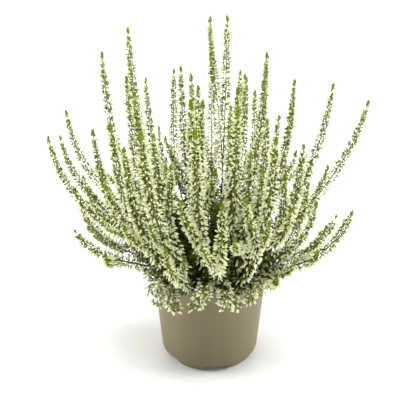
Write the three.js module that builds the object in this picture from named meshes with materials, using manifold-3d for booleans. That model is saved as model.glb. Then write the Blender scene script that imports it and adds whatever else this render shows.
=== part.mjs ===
// Potted heather: a tapered nursery pot filled with compost, and a bush of flowering shoots.
// Millimetres, +Z up, front towards -Y. The origin is on the ground, under the pot's axis.
import * as THREE from 'three';
import Module from 'manifold-3d';
import { mergeVertices } from 'three/addons/utils/BufferGeometryUtils.js';

const wasm = await Module();
wasm.setup();

// Pot: a 12 cm nursery pot, measured across its rim.
const POT_HEIGHT = 98;
const RIM_RADIUS = 60;
const WALL_FOOT_RADIUS = 52.4;
const FOOT_RADIUS = 46.4;
const FOOT_RING_WIDTH = 3;
const WALL = 1.6;
const FLOOR_UNDERSIDE = 8.4;
const CHAMFER_HEIGHT = 12;
const POT_SIDES = 42;
const NOTCHES = 6;
const NOTCH_TOP_WIDTH = 17;
const NOTCH_GROUND_WIDTH = 25;
const NOTCH_HEIGHT = 7.6;
const FIRST_NOTCH_DEG = -83;
const DRAIN_HOLE_RADIUS = 4.5;
const DRAIN_RING_RADIUS = 33;
const DRAIN_HOLE_SIDES = 10;

// Compost: fills the pot to a finger's width under the rim.
const GAP = 0.3;
const SOIL_LEVEL = 91;
const SOIL_EDGE_DROP = 3;
const SOIL_SIDES = 24;
const SOIL_RINGS = [52, 34, 16];
const HOLE_SIDES = 4;

// Shoots: a woody stem, a short leafy part above it, then a spike of paired buds to the tip.
const STEM_RADIUS = 1.5;
const STEM_DEPTH = 16;
const BARE_LENGTH = 14;
const LEAFY_LENGTH = 38;
const LEAF_PITCH = 13;
const LEAF_REACH = 3.8;
const LEAF_LIFT = 1.5;
const BUD_PITCH = 13.8;
const BUD_REACH = 5.6;
const BUD_LIFT = 3.6;
const TIP_TAPER_LENGTH = 30;
const TIP_RADIUS = 0.5;
const CORE_RADIUS = 1.15;
const RING_TURN = THREE.MathUtils.degToRad(9);

// Where shoots leave the compost.
const ROOT_DISC_RADIUS = 48.5;
const ROOT_SPACING = 12.6;
const WIDEST_LEAN_DEG = 62;

// How shoots bend. A bow is the share of the way out that a rising shoot's curve is aimed at
// first. The other numbers place the two inner points of each curve.
const BOW = 0.62;
const FULL_BOW_CLIMB = 110;
const STEEPEST_START = 0.85;
const LEAST_RISE = 30;
const STRAIGHT_RISE_SHARE = 0.48;
const RISE_LOST_PER_BOW = 0.54;
const STRAIGHT_LAST_SHARE = 0.22;
const LAST_LOST_PER_BOW = 0.25;
const TURN_UP_SHARE = 0.45;
const SWEEP = { firstShare: 0.17, firstHeight: 114, lastShare: 0.25, lastHeight: 104 };
const ARCH = { firstShare: 0.08, firstHeight: 112, lastShare: 0.35, lastHeight: 118 };
const FORK_SHARE = 0.38;
const FORK_EASE = 0.35;
const FORK_LEAN = 0.4;

// Upright and spreading shoots, by the place where each of their spikes ends: [x, y, z], and the
// bow of one that is straighter than the rest.
const RISING = [
  // Left
  [[-156, -15, 239, 0.56], [-137, -4, 184]],
  [[-156, 30, 231, 0.56], [-136, 36, 186]],
  [[-153, 52, 253], [-128, 72, 188]],
  [[-105, -55, 254], [-113, -45, 186]],
  [[-106, 20, 315, 0.72], [-112, 6, 206]],
  [[-84, -85, 264], [-94, -70, 208], [-95, -88, 180]],
  [[-83, 45, 338], [-88, 56, 222]],
  [[-78, -20, 296], [-80, -38, 222]],
  [[-66, -60, 287], [-56, -84, 172]],
  // Front
  [[-71, -105, 250], [-71, -95, 212], [-74, -104, 182]],
  [[-55, -125, 266], [-51, -117, 188]],
  [[-48, -98, 259], [-34, -108, 236]],
  [[-14, -122, 267], [-26, -128, 213]],
  [[-18, -85, 284], [-8, -58, 280], [2, -100, 230]],
  [[19, -105, 280], [15, -75, 278]],
  [[7, -130, 210], [-10, -130, 181]],
  [[31, -92, 242], [17, -128, 180]],
  [[48, -120, 260], [25, -128, 214], [46, -118, 192]],
  [[45, -85, 269], [60, -45, 265], [40, -105, 232]],
  [[76, -85, 248], [61, -90, 223], [65, -102, 198]],
  [[92, -75, 193], [88, -55, 205]],
  [[-39, -118, 167], [-24, -98, 150]],
  // Middle
  [[-30, 40, 300], [-46, 20, 232]],
  [[-12, -36, 290], [-19, 0, 296]],
  [[38, 50, 288]],
  [[14, -15, 349], [-1, 20, 348]],
  [[23, -38, 288]],
  [[53, 5, 316], [45, 30, 277]],
  // Right
  [[89, 55, 285], [92, 40, 212]],
  [[122, 22, 285, 0.52], [104, 16, 208]],
  [[155, 10, 270, 0.36], [118, 2, 206]],
  // Back
  [[-69, 70, 285], [-50, 96, 190]],
  [[32, 60, 294], [40, 100, 286], [22, 104, 190]],
  [[-91, 108, 300], [-104, 78, 212]],
  [[-60, 124, 222], [-82, 112, 190], [-62, 104, 150]],
  [[-39, 85, 293, 1.2], [-45, 116, 200]],
  [[3, 112, 316], [-12, 100, 240]],
  [[-8, 129, 230], [12, 131, 205]],
  [[64, 100, 296], [60, 112, 220]],
  [[38, 129, 238], [52, 124, 202], [34, 118, 160]],
  [[98, 108, 262], [90, 92, 190]],
  [[82, 122, 205], [112, 84, 198], [84, 104, 158]],
  [[-112, 90, 184], [-92, 104, 156]],
];

// Low shoots that lie out over the rim and turn up at the end.
const SWEEPING = [
  [[-134, -30, 150], [-98, -66, 140]],
  [[-131, 5, 148], [-139, 28, 158]],
  [[129, -60, 180], [98, -68, 144]],
  [[111, -40, 158], [126, -16, 160]],
  [[76, -75, 136], [58, -90, 128]],
  [[104, 72, 150], [120, 42, 160]],
  [[20, 122, 140], [-14, 118, 146], [55, 108, 150]],
];

// Short shoots that arch over the rim and hang.
const ARCHING = [
  [[-51, -75, 91], [-32, -86, 97]],
  [[-62, -38, 99], [-60, -54, 97]],
  [[-7, -90, 107], [-17, -84, 97]],
  [[13, -100, 101], [27, -84, 98]],
  [[48, -62, 95], [36, -76, 100], [66, -44, 101]],
  [[68, 48, 100], [40, 76, 102]],
  [[10, 90, 104], [-14, 86, 98]],
  [[-56, 68, 98], [-34, 82, 102], [-76, 40, 104]],
];

const paint = {
  pot: new THREE.MeshStandardMaterial({ color: 0x81775c, roughness: 0.6, metalness: 0 }),
  soil: new THREE.MeshStandardMaterial({ color: 0x2c2018, roughness: 1, metalness: 0 }),
  spike: new THREE.MeshStandardMaterial({ color: 0xdfe3b8, roughness: 0.8, metalness: 0 }),
};

// Joins the vertices of a closed surface by place and hands it over as a solid.
function solidFrom(geometry) {
  const bare = geometry.clone();
  bare.deleteAttribute('normal');
  bare.deleteAttribute('uv');
  const merged = mergeVertices(bare, 1e-4);
  return new wasm.Manifold(new wasm.Mesh({
    numProp: 3,
    vertProperties: new Float32Array(merged.attributes.position.array),
    triVerts: new Uint32Array(merged.index.array),
  }));
}

// Turns a solid back into a named mesh.
function meshFrom(name, solid, material) {
  const mesh = solid.getMesh();
  const geometry = new THREE.BufferGeometry();
  geometry.setAttribute('position', new THREE.BufferAttribute(mesh.vertProperties, 3));
  geometry.setIndex(new THREE.BufferAttribute(mesh.triVerts, 1));
  geometry.computeVertexNormals();
  const named = new THREE.Mesh(geometry, material);
  named.name = name;
  return named;
}

// Spins [radius, height] pairs about the upright axis.
function turned(profile, sides) {
  const points = profile.map(([radius, height]) => new THREE.Vector2(radius, height));
  return solidFrom(new THREE.LatheGeometry(points, sides).rotateX(Math.PI / 2));
}

// An upright prism with regular sides, from one height to another.
function prism(x, y, radius, low, high, sides) {
  const post = new THREE.CylinderGeometry(radius, radius, high - low, sides).rotateX(Math.PI / 2);
  return solidFrom(post.translate(x, y, (low + high) / 2));
}

// Inner radius of the pot's wall at a height.
function innerRadius(height) {
  const share = (height - CHAMFER_HEIGHT) / (POT_HEIGHT - CHAMFER_HEIGHT);
  return WALL_FOOT_RADIUS + (RIM_RADIUS - WALL_FOOT_RADIUS) * share - WALL;
}

const floorTop = FLOOR_UNDERSIDE + WALL;

function makePot() {
  const rimRound = 0.6;
  const flare = 2;
  let pot = turned([
    [0, FLOOR_UNDERSIDE],
    [FOOT_RADIUS - FOOT_RING_WIDTH, FLOOR_UNDERSIDE],
    [FOOT_RADIUS - FOOT_RING_WIDTH, 0],
    [FOOT_RADIUS, 0],
    [(FOOT_RADIUS + WALL_FOOT_RADIUS) / 2 + 0.5, CHAMFER_HEIGHT * 0.4],
    [WALL_FOOT_RADIUS, CHAMFER_HEIGHT],
    [RIM_RADIUS, POT_HEIGHT - rimRound],
    [RIM_RADIUS - rimRound, POT_HEIGHT],
    [RIM_RADIUS - WALL + 0.3, POT_HEIGHT],
    [innerRadius(POT_HEIGHT) - 0.1, POT_HEIGHT - rimRound],
    [innerRadius(floorTop + flare), floorTop + flare],
    [innerRadius(floorTop) - flare, floorTop],
    [0, floorTop],
  ], POT_SIDES);
  const notch = new THREE.Shape([
    new THREE.Vector2(-NOTCH_GROUND_WIDTH / 2 - 1, -1),
    new THREE.Vector2(NOTCH_GROUND_WIDTH / 2 + 1, -1),
    new THREE.Vector2(NOTCH_TOP_WIDTH / 2, NOTCH_HEIGHT),
    new THREE.Vector2(-NOTCH_TOP_WIDTH / 2, NOTCH_HEIGHT),
  ]);
  const cutLength = 20;
  for (let i = 0; i < NOTCHES; i += 1) {
    const angle = THREE.MathUtils.degToRad(FIRST_NOTCH_DEG + (360 / NOTCHES) * i);
    const cutter = new THREE.ExtrudeGeometry(notch, { depth: cutLength, bevelEnabled: false })
      .rotateX(Math.PI / 2)
      .translate(0, FOOT_RADIUS + cutLength / 2, 0)
      .rotateZ(angle - Math.PI / 2);
    pot = pot.subtract(solidFrom(cutter));
    const holeAngle = angle + Math.PI / NOTCHES;
    pot = pot.subtract(prism(
      DRAIN_RING_RADIUS * Math.cos(holeAngle), DRAIN_RING_RADIUS * Math.sin(holeAngle),
      DRAIN_HOLE_RADIUS, FLOOR_UNDERSIDE - 2, floorTop + 2, DRAIN_HOLE_SIDES,
    ));
  }
  return meshFrom('pot', pot, paint.pot);
}

// Height of the compost at a place: a low dome with lumps, falling away towards the wall.
function soilHeight(x, y) {
  const reach = Math.hypot(x, y) / innerRadius(SOIL_LEVEL);
  const lumps = Math.sin(x * 0.21 + 1) * Math.cos(y * 0.19) + 0.6 * Math.sin(x * 0.37 - y * 0.31);
  return SOIL_LEVEL - SOIL_EDGE_DROP * reach * reach + 0.7 * lumps;
}

// A shoot that leans further is rooted nearer the wall, on the bearing of its tip. The roots then
// push apart until none is closer than the spacing.
function placeRoots(shoots) {
  const roots = shoots.map(([tip]) => {
    const bearing = Math.atan2(tip[1], tip[0]);
    const lean = Math.atan2(Math.hypot(tip[0], tip[1]), tip[2] - SOIL_LEVEL);
    const share = Math.min(1, THREE.MathUtils.radToDeg(lean) / WIDEST_LEAN_DEG);
    return new THREE.Vector2(ROOT_DISC_RADIUS * share, 0).rotateAround(new THREE.Vector2(), bearing);
  });
  const rounds = 400;
  for (let round = 0; round < rounds; round += 1) {
    const moves = roots.map(() => new THREE.Vector2());
    for (let a = 0; a < roots.length; a += 1) {
      for (let b = a + 1; b < roots.length; b += 1) {
        const apart = roots[a].clone().sub(roots[b]);
        const short = ROOT_SPACING - apart.length();
        if (short > 0) {
          apart.setLength(short * 0.25);
          moves[a].add(apart);
          moves[b].sub(apart);
        }
      }
    }
    roots.forEach((root, i) => root.add(moves[i]).clampLength(0, ROOT_DISC_RADIUS));
  }
  return roots;
}

// Where a shoot leaves the compost.
function footOf(root) {
  return new THREE.Vector3(root.x, root.y, soilHeight(root.x, root.y) + 2);
}

// Main curve of a rising shoot: it leans out low down and turns up towards its tip.
function risingCurve(root, [x, y, z, bow = BOW]) {
  const start = footOf(root);
  const end = new THREE.Vector3(x, y, z);
  const across = new THREE.Vector3(x - root.x, y - root.y, 0);
  const climb = z - start.z;
  const aim = bow * Math.min(1, climb / FULL_BOW_CLIMB);
  const rise = Math.max(
    climb * (STRAIGHT_RISE_SHARE - RISE_LOST_PER_BOW * bow),
    across.length() * aim * STEEPEST_START,
    LEAST_RISE,
  );
  const last = STRAIGHT_LAST_SHARE - LAST_LOST_PER_BOW * bow;
  return new THREE.CubicBezierCurve3(
    start,
    start.clone().addScaledVector(across, aim).setZ(start.z + rise),
    end.clone().addScaledVector(across, -last).setZ(z - climb * TURN_UP_SHARE),
    end,
  );
}

// Main curve of a low shoot: past the rim's level first, then out and on to its tip. bend holds
// the shares of the way out and the heights of the two inner points.
function lowCurve(root, [x, y, z], bend) {
  const start = footOf(root);
  const end = new THREE.Vector3(x, y, z);
  const across = new THREE.Vector3(x - root.x, y - root.y, 0);
  return new THREE.CubicBezierCurve3(
    start,
    start.clone().addScaledVector(across, bend.firstShare).setZ(bend.firstHeight),
    end.clone().addScaledVector(across, -bend.lastShare).setZ(bend.lastHeight),
    end,
  );
}

// A side spike leaves the main curve along it and turns up to its own tip.
function forkCurve(main, tip) {
  const start = main.getPointAt(FORK_SHARE);
  const along = main.getTangentAt(FORK_SHARE);
  const end = new THREE.Vector3(...tip);
  const span = end.distanceTo(start);
  const last = end.clone().sub(start).setZ(0).multiplyScalar(FORK_LEAN / span).setZ(1).normalize();
  return new THREE.CubicBezierCurve3(
    start,
    start.clone().addScaledVector(along, span * FORK_EASE),
    end.clone().addScaledVector(last, -span * FORK_EASE),
    end,
  );
}

// A spike's surface: rings of four points along a curve. On each ring two opposite points reach
// out as buds and two stay on the slim core, and the next ring swaps them, so every bud is a
// four-faced spur. stations holds each ring's place, its bud reach and its bud lift.
function spurredSolid(stations) {
  const rings = stations.length;
  const positions = [];
  const faces = [];
  let side = new THREE.Vector3(1, 0, 0);
  stations.forEach((station, k) => {
    const before = stations[Math.max(k - 1, 0)].place;
    const after = stations[Math.min(k + 1, rings - 1)].place;
    const along = after.clone().sub(before).normalize();
    side = side.clone().addScaledVector(along, -side.dot(along)).normalize();
    const other = along.clone().cross(side);
    for (let c = 0; c < 4; c += 1) {
      const angle = k * RING_TURN + (c * Math.PI) / 2;
      const out = side.clone().multiplyScalar(Math.cos(angle)).addScaledVector(other, Math.sin(angle));
      const bud = station.reach > 0 && (k + c) % 2 === 0;
      const point = station.place.clone().addScaledVector(out, bud ? station.reach : station.core);
      point.addScaledVector(along, bud ? station.lift : 0);
      positions.push(point.x, point.y, point.z);
    }
  });
  for (let k = 0; k + 1 < rings; k += 1) {
    for (let c = 0; c < 4; c += 1) {
      const a = k * 4 + c;
      const b = k * 4 + ((c + 1) % 4);
      if ((k + c) % 2 === 0) {
        faces.push(a, b, a + 4, b, b + 4, a + 4);
      } else {
        faces.push(a, b, b + 4, a, b + 4, a + 4);
      }
    }
  }
  faces.push(0, 2, 1, 0, 3, 2);
  const last = (rings - 1) * 4;
  faces.push(last, last + 1, last + 2, last, last + 2, last + 3);
  const geometry = new THREE.BufferGeometry();
  geometry.setAttribute('position', new THREE.Float32BufferAttribute(positions, 3));
  geometry.setIndex(faces);
  return solidFrom(geometry);
}

// Rings along a curve: bare at first, leafy up to a length, then buds that shrink to the tip.
function spikeStations(curve, leafyLength, bareLength) {
  const length = curve.getLength();
  const leafRings = Math.round(leafyLength / LEAF_PITCH);
  const budRings = Math.round((length - leafRings * LEAF_PITCH) / BUD_PITCH);
  const budPitch = (length - leafRings * LEAF_PITCH) / budRings;
  const stations = [];
  for (let k = 0; k < leafRings + budRings; k += 1) {
    const leafy = k < leafRings;
    const travelled = leafy ? k * LEAF_PITCH : leafRings * LEAF_PITCH + (k - leafRings) * budPitch;
    const taper = 0.5 + 0.5 * Math.min(1, (length - travelled) / TIP_TAPER_LENGTH);
    const station = { place: curve.getPointAt(travelled / length), core: CORE_RADIUS };
    if (travelled < bareLength) {
      stations.push({ ...station, reach: 0, lift: 0 });
    } else if (leafy) {
      stations.push({ ...station, reach: LEAF_REACH, lift: LEAF_LIFT });
    } else {
      stations.push({ ...station, reach: BUD_REACH * taper, lift: BUD_LIFT });
    }
  }
  stations.push({ place: curve.getPointAt(1), reach: 0, lift: 0, core: TIP_RADIUS });
  return stations;
}

// The largest of the bodies in a solid, without the specks that a join can leave.
function mainBody(solid) {
  return solid.decompose().reduce((best, body) => (body.volume() > best.volume() ? body : best));
}

function makeShoot(name, root, tips, curveOf) {
  const main = curveOf(root, tips[0]);
  const ground = soilHeight(root.x, root.y);
  const stem = [-STEM_DEPTH, -1].map((height) => ({
    place: new THREE.Vector3(root.x, root.y, ground + height), reach: 0, lift: 0, core: STEM_RADIUS,
  }));
  let shoot = spurredSolid([...stem, ...spikeStations(main, LEAFY_LENGTH, BARE_LENGTH)]);
  tips.slice(1).forEach((tip) => {
    const fork = spurredSolid(spikeStations(forkCurve(main, tip), 0, BARE_LENGTH / 2));
    shoot = mainBody(shoot.add(fork));
  });
  return meshFrom(name, shoot, paint.spike);
}

// Compost: a solid that fills the pot up to its lumpy top, with a plain hole for each stem.
function makeSoil(roots) {
  const bottom = floorTop + GAP;
  const wallTop = SOIL_LEVEL - SOIL_EDGE_DROP - 2;
  const positions = [0, 0, bottom, 0, 0, soilHeight(0, 0)];
  const faces = [];
  const addLoop = (radius, heightAt) => {
    for (let i = 0; i < SOIL_SIDES; i += 1) {
      const angle = (i / SOIL_SIDES) * Math.PI * 2;
      const x = radius * Math.cos(angle);
      const y = radius * Math.sin(angle);
      positions.push(x, y, heightAt(x, y));
    }
  };
  addLoop(innerRadius(bottom) - GAP - 3, () => bottom);
  addLoop(innerRadius(bottom + 3) - GAP, () => bottom + 3);
  addLoop(innerRadius(wallTop) - GAP, () => wallTop);
  SOIL_RINGS.forEach((radius) => addLoop(radius, soilHeight));
  const loops = SOIL_RINGS.length + 3;
  for (let i = 0; i < SOIL_SIDES; i += 1) {
    const next = (i + 1) % SOIL_SIDES;
    faces.push(0, 2 + next, 2 + i);
    for (let k = 0; k + 1 < loops; k += 1) {
      const low = 2 + k * SOIL_SIDES;
      const high = low + SOIL_SIDES;
      faces.push(low + i, low + next, high + next, low + i, high + next, high + i);
    }
    const inner = 2 + (loops - 1) * SOIL_SIDES;
    faces.push(1, inner + i, inner + next);
  }
  const geometry = new THREE.BufferGeometry();
  geometry.setAttribute('position', new THREE.Float32BufferAttribute(positions, 3));
  geometry.setIndex(faces);
  let soil = solidFrom(geometry);
  roots.forEach((root) => {
    const ground = soilHeight(root.x, root.y);
    soil = soil.subtract(prism(
      root.x, root.y, (STEM_RADIUS + GAP) / Math.cos(Math.PI / HOLE_SIDES),
      ground - STEM_DEPTH - GAP, ground + 10, HOLE_SIDES,
    ));
  });
  return meshFrom('soil', soil, paint.soil);
}

const heather = new THREE.Group();
const habits = [
  ['rising_shoot', RISING, risingCurve],
  ['sweeping_shoot', SWEEPING, (root, tip) => lowCurve(root, tip, SWEEP)],
  ['arching_shoot', ARCHING, (root, tip) => lowCurve(root, tip, ARCH)],
];
const roots = placeRoots(habits.flatMap(([, shoots]) => shoots));
heather.add(makePot(), makeSoil(roots));
let planted = 0;
habits.forEach(([name, shoots, curveOf]) => {
  shoots.forEach((tips, i) => {
    const number = String(i + 1).padStart(2, '0');
    heather.add(makeShoot(`${name}_${number}`, roots[planted], tips, curveOf));
    planted += 1;
  });
});

export default heather;
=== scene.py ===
# %% [markdown]
# # A potted heather
# This notebook dresses a plain CAD model of a white heather in its nursery pot. The CAD model gives
# every piece its place and size. Here each shoot gets its real buds, bracts and scale leaves, the
# compost gets its crumb, and the pot gets its moulded plastic. Blender works in metres. The tips of
# the shoots, the compost and the pot are written in millimetres, and MM turns them into metres.

import math

import bpy
import numpy as np
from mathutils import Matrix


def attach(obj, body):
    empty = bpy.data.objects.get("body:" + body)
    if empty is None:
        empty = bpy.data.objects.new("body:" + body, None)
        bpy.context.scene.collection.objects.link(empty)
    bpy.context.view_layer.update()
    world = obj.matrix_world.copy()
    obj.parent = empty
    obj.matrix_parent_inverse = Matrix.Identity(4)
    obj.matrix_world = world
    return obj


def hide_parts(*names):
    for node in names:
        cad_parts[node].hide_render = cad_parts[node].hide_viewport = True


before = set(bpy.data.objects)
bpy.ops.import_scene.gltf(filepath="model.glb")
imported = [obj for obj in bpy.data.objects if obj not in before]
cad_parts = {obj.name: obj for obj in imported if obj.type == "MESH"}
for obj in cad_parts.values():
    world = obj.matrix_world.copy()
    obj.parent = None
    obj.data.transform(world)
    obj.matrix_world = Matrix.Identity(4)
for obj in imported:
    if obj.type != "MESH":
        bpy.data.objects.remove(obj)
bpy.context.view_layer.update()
MM = 0.001
print("CAD nodes:", len(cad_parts))

# %% [markdown]
# The photograph was taken from a little above the plant, with a lens that is neither wide nor long.
# The camera comes first, so that every later choice can be judged in its view. Its place was found
# from the pot, whose rim and foot are circles of a known size.

# %% Camera
LENS_MM = 50
SENSOR_MM = 36
CAMERA_PLACE = (-0.0105, -0.538, 0.351)
CAMERA_PITCH_DEG = 18.5

camera_data = bpy.data.cameras.new("studio_camera")
camera_data.lens = LENS_MM
camera_data.sensor_width = SENSOR_MM
camera_data.clip_start = 0.01
camera = bpy.data.objects.new("studio_camera", camera_data)
camera.location = CAMERA_PLACE
camera.rotation_euler = (math.radians(90 - CAMERA_PITCH_DEG), 0, 0)
bpy.context.collection.objects.link(camera)
bpy.context.scene.camera = camera
print("camera at", CAMERA_PLACE)

# %% [markdown]
# Nearly every form on a heather is a slim closed body round an axis: a stem, a bud, a leaf, and the
# pot and the compost too. So one surface serves them all: rings of points, closed by a point at each
# end. The rings of many buds are worked out at once, as arrays with one row for each bud.

# %% A closed surface from rings
MAP_LIMITS = (0.005, 0.995)


def shell(rings, first, last):
    """Closed bodies from rings of points, and a point at either end.

    rings has the shape (bodies, rings, columns, 3), first and last have (bodies, 3). Each square
    between two rings is cut into two triangles, and each end is a fan. Columns run anticlockwise
    as seen from the far end, so that the faces point outwards."""
    count, rows, columns = rings.shape[:3]
    size = rows * columns + 2
    grid = rings.reshape(count, rows * columns, 3)
    points = np.concatenate([grid, first[:, None], last[:, None]], axis=1)
    row, column = np.meshgrid(np.arange(rows - 1), np.arange(columns), indexing="ij")
    here = row * columns + column
    beside = row * columns + (column + 1) % columns
    walls = np.stack([
        np.stack([here, beside, beside + columns], axis=-1),
        np.stack([here, beside + columns, here + columns], axis=-1),
    ]).reshape(-1, 3)
    turn = np.arange(columns)
    after = (turn + 1) % columns
    top = (rows - 1) * columns
    foot_fan = np.stack([np.full(columns, size - 2), after, turn], axis=-1)
    head_fan = np.stack([np.full(columns, size - 1), top + turn, top + after], axis=-1)
    faces = np.concatenate([walls, foot_fan, head_fan])
    starts = np.arange(count)[:, None, None] * size
    return points.reshape(-1, 3), (faces[None] + starts).reshape(-1, 3)


def shell_map(along, tone, columns, spread):
    """The map place of every point of shell(): along is the first number, one for each ring and
    then for both ends, and tone is the second, one for each body, spread a little round the ring."""
    rows = len(along) - 2
    round_ring = np.cos(2 * np.pi * np.arange(columns) / columns) * spread
    across = np.concatenate([np.tile(round_ring, rows), [spread, -spread]])
    along = np.concatenate([np.repeat(along[:rows], columns), along[rows:]])
    first = np.broadcast_to(along, (len(tone), len(along)))
    second = np.clip(tone[:, None] + across[None], *MAP_LIMITS)
    return np.stack([first, second], axis=-1).reshape(-1, 2)


def unit(vectors):
    """Vectors brought to length one."""
    return vectors / np.maximum(np.linalg.norm(vectors, axis=-1, keepdims=True), 1e-9)


print("surface helpers ready")

# %% [markdown]
# Blender wants a mesh as flat lists. Filling them in one go keeps a piece of many thousand
# triangles quick to make. Each piece brings its own map, in which the first number runs along a bud
# or leaf and the second says how young it is, so a material can tint it by its age.

# %% From arrays to a piece
def make_piece(name, parts, material, nodes):
    """One mesh object from a list of (points, triangles, map places) with smooth shading. It rides
    on the root body, takes one material and hides the given CAD nodes."""
    points, faces, places, start = [], [], [], 0
    for part_points, part_faces, part_places in parts:
        points.append(part_points)
        faces.append(part_faces + start)
        places.append(part_places)
        start += len(part_points)
    points = np.concatenate(points)
    faces = np.concatenate(faces)
    places = np.concatenate(places)
    mesh = bpy.data.meshes.new(name)
    mesh.vertices.add(len(points))
    mesh.vertices.foreach_set("co", points.astype(np.float32).ravel())
    mesh.loops.add(faces.size)
    mesh.loops.foreach_set("vertex_index", faces.astype(np.int32).ravel())
    mesh.polygons.add(len(faces))
    mesh.polygons.foreach_set("loop_start", np.arange(0, faces.size, 3, dtype=np.int32))
    mesh.polygons.foreach_set("use_smooth", np.ones(len(faces), dtype=bool))
    layer = mesh.uv_layers.new(name="OFBake")
    layer.data.foreach_set("uv", places[faces.ravel()].astype(np.float32).ravel())
    mesh.update()
    mesh.validate()
    mesh.materials.append(material)
    piece = bpy.data.objects.new(name, mesh)
    bpy.context.collection.objects.link(piece)
    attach(piece, "root")
    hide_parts(*nodes)
    return piece


print("piece maker ready")

# %% [markdown]
# A material is a graph of nodes. Written as plain formulas it is much easier to read, so a small
# class stands for one socket of the graph and turns sums and products into Math nodes.

# %% Shader formulas
class Reading:
    """One socket of a material. Sums, differences, products and limits add Math nodes."""

    def __init__(self, recipe, socket):
        self.recipe = recipe
        self.socket = socket

    def combine(self, operation, first, second):
        """A Math node that joins two readings or numbers."""
        return self.recipe.node("ShaderNodeMath", {"operation": operation}, {0: first, 1: second})

    def __add__(self, other):
        return self.combine("ADD", self, other)

    def __radd__(self, other):
        return self.combine("ADD", other, self)

    def __sub__(self, other):
        return self.combine("SUBTRACT", self, other)

    def __rsub__(self, other):
        return self.combine("SUBTRACT", other, self)

    def __mul__(self, other):
        return self.combine("MULTIPLY", self, other)

    def __rmul__(self, other):
        return self.combine("MULTIPLY", other, self)

    def __gt__(self, other):
        return self.combine("GREATER_THAN", self, other)


class Recipe:
    """A material that is built from readings, with its Principled shader as .surface."""

    def __init__(self, name, **constants):
        self.material = bpy.data.materials.new(name)
        self.material.use_nodes = True
        self.tree = self.material.node_tree
        self.surface = self.tree.nodes["Principled BSDF"]
        for socket, value in constants.items():
            self.surface.inputs[socket.replace("_", " ")].default_value = value

    def node(self, kind, settings=None, sockets=None, output=0):
        """Adds a node: its settings first, then the value or link of each socket."""
        node = self.tree.nodes.new(kind)
        for name, value in (settings or {}).items():
            if name == "stops":
                for i, (place, colour) in enumerate(value):
                    stop = node.color_ramp.elements[i] if i < 2 else node.color_ramp.elements.new(place)
                    stop.position = place
                    stop.color = (*colour, 1)
            else:
                setattr(node, name, value)
        for name, value in (sockets or {}).items():
            self.feed(node.inputs[name], value)
        return Reading(self, node.outputs[output])

    def feed(self, socket, value):
        """Links a reading to a socket, or sets a plain value on it."""
        if isinstance(value, Reading):
            self.tree.links.new(value.socket, socket)
        else:
            socket.default_value = value

    def finish(self, **readings):
        """Feeds readings to the shader's own sockets."""
        for name, value in readings.items():
            self.feed(self.surface.inputs[name.replace("_", " ")], value)

    def ramp(self, share, stops):
        """A colour that runs through the stops as share goes from 0 to 1."""
        return self.node("ShaderNodeValToRGB", {"stops": stops}, {0: share})

    def mix(self, share, first, second):
        """A colour between two colours."""
        ends = [end if isinstance(end, Reading) else (*end, 1) for end in (first, second)]
        sockets = {0: share, 6: ends[0], 7: ends[1]}
        return self.node("ShaderNodeMix", {"data_type": "RGBA"}, sockets, output=2)

    def noise(self, scale, detail=3, place=None):
        """Noise from 0 to 1 in the piece's own space, with about scale lumps to the metre."""
        place = place or self.node("ShaderNodeTexCoord", output=3)
        sockets = {"Vector": place, "Scale": scale, "Detail": detail}
        return self.node("ShaderNodeTexNoise", None, sockets)

    def map_numbers(self):
        """The two numbers of the piece's map: the place along the bud or leaf, and its tone."""
        chart = self.node("ShaderNodeUVMap", {"uv_map": "OFBake"})
        split = self.node("ShaderNodeSeparateXYZ", None, {0: chart})
        return split, Reading(self, split.socket.node.outputs[1])

    def bump(self, height, depth, strength=1.0):
        """A normal that makes height stand out by depth metres."""
        return self.node(
            "ShaderNodeBump", None, {"Strength": strength, "Distance": depth, "Height": height}
        )


print("shader formulas ready")

# %% [markdown]
# A bud on this heather never opens. It is a closed spindle of four ivory sepals on a thin green
# stalk. Young buds near the tip are lime and older ones turn ivory. Buds in the shade of the bush
# get painted shade instead, a dark dull green. Each kind has a ramp along the bud, and the bud's
# tone mixes them: young at 0, ripe at RIPE_TONE and painted shade at the top tone. Fine grain makes
# the skin a little uneven, so that it shines less evenly than a plastic one.

# %% Bud finish
RIPE_TONE = 0.65
RIPENING = 1.5
# The next three set the painted shade: the tone where it starts, how fast it comes in, and its full
# tone.
PAINTED_SHADE_FROM = 0.66
PAINTED_SHADE_STEEPNESS = 3
PAINTED_SHADE_TONE = 0.97

bud = Recipe("ivory_bud", Subsurface_Weight=0.12, Subsurface_Scale=2 * MM)
along, tone = bud.map_numbers()
young = bud.ramp(along, [
    (0.0, (0.2, 0.28, 0.03)), (0.35, (0.5, 0.57, 0.16)), (0.7, (0.7, 0.75, 0.36)),
    (1.0, (0.64, 0.7, 0.29)),
])
ripe = bud.ramp(along, [
    (0.0, (0.16, 0.22, 0.025)), (0.3, (0.55, 0.6, 0.22)), (0.5, (0.87, 0.9, 0.57)),
    (1.0, (0.96, 0.97, 0.71)),
])
# Painted shade: a dark dull green for buds in the shade of the bush.
painted_shade = bud.ramp(along, [
    (0.0, (0.015, 0.038, 0.003)), (0.35, (0.055, 0.083, 0.01)), (1.0, (0.105, 0.14, 0.035)),
])
lit = bud.mix(tone * RIPENING, young, ripe)
grain = bud.noise(1400, detail=2)
bud.finish(
    Base_Color=bud.mix((tone - PAINTED_SHADE_FROM) * PAINTED_SHADE_STEEPNESS, lit, painted_shade),
    Roughness=0.4 + grain * 0.2,
    Normal=bud.bump(grain, 0.3 * MM, 0.6),
)
print("made", bud.material.name)

# %% [markdown]
# Stems and scale leaves share one piece for each shoot, because they grow out of each other. The
# left half of the map holds the leaves, dark at the foot of the plant and fresh green at its tips.
# The darkest tones are partly older leaves and partly painted shade. The right half holds the stems,
# which start brown and woody and end lime. Coarser grain roughens both, because leaves this small are
# leathery and old stems are barky.

# %% Leaf and stem finish
STEM_HALF = 0.5

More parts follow.
